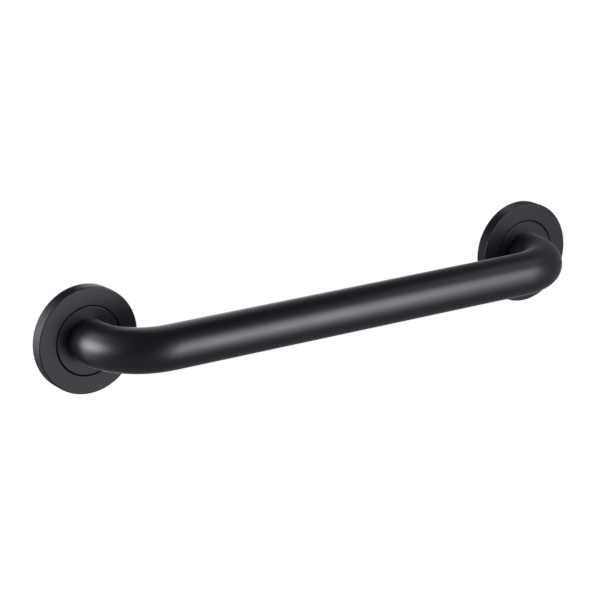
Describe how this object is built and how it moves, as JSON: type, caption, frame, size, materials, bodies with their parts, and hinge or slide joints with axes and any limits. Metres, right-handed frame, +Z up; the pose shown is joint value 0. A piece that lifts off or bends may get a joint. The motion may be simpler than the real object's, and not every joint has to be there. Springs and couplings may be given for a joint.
{
  "type": "grab bar",
  "caption": "Wall-mounted grab bar: a round tube bent square at each end into a round flange, with covers that slide forward along the tube to reach the hidden screws.",
  "frame": {"origin": "on the wall plane, midway between the two flanges, which is the centre of the screw pattern", "axes": "+X along the bar, +Z up, +Y into the wall; the bar stands out from the wall towards -Y"},
  "size_m": [0.458, 0.0701, 0.077],
  "materials": {
    "tube_coat": "satin",
    "flange_coat": "satin",
    "cover_coat": "satin",
    "seal_rubber": "matte"
  },
  "bodies": {
    "bar": {"rail_tube": "tube_coat", "left_mounting_flange": "flange_coat", "right_mounting_flange": "flange_coat", "left_o_ring": "seal_rubber", "right_o_ring": "seal_rubber"},
    "left_cover": {"left_cover_ring": "cover_coat"},
    "right_cover": {"right_cover_ring": "cover_coat"}
  },
  "joints": [
    {"name": "left_cover_slide", "type": "slide", "parent": "bar", "child": "left_cover", "axis": [0, -1, 0], "range_m": [0, 0.024]},
    {"name": "right_cover_slide", "type": "slide", "parent": "bar", "child": "right_cover", "axis": [0, -1, 0], "range_m": [0, 0.024]}
  ]
}
